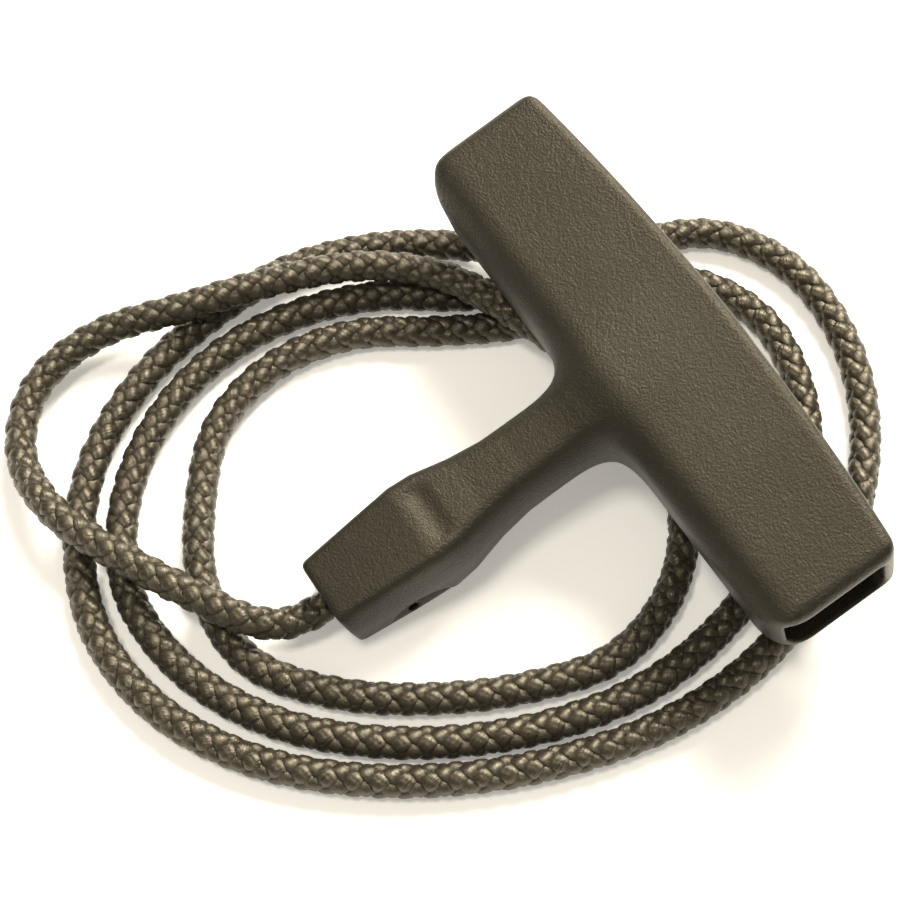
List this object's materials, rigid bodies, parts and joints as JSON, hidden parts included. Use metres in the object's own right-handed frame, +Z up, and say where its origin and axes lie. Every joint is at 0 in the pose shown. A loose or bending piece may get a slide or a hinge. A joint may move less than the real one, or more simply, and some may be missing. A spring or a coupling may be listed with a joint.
{
  "type": "recoil starter handle",
  "caption": "T-shaped moulded pull grip with a hollow cross bar on a braided starter rope, the rope lying in loops under it",
  "frame": {"origin": "centre of the grip's box in plan, on the floor it rests on", "axes": "+X along the grip's cross bar, -Y the way the stem points in plan, +Z up; the grip leans 14.6 degrees about X, tip down, because its bar lies on the rope"},
  "size_m": [0.0992, 0.121, 0.0303],
  "materials": {
    "grip_plastic": "fine moulded grain",
    "rope": "braided multifilament, slightly glossy",
    "melted_end": "heat sealed"
  },
  "bodies": {
    "rope_body": {"rope_outer": "rope", "rope_inner": "rope", "stop_knot": "rope", "knot_tail": "rope", "tail_seal": "melted_end", "end_seal": "melted_end"},
    "grip_body": {"grip": "grip_plastic"}
  },
  "joints": [
    {"name": "grip_slide", "type": "slide", "parent": "rope_body", "child": "grip_body", "axis": [0, 0.9677, 0.2521], "range_m": [0, 0.0047]}
  ]
}
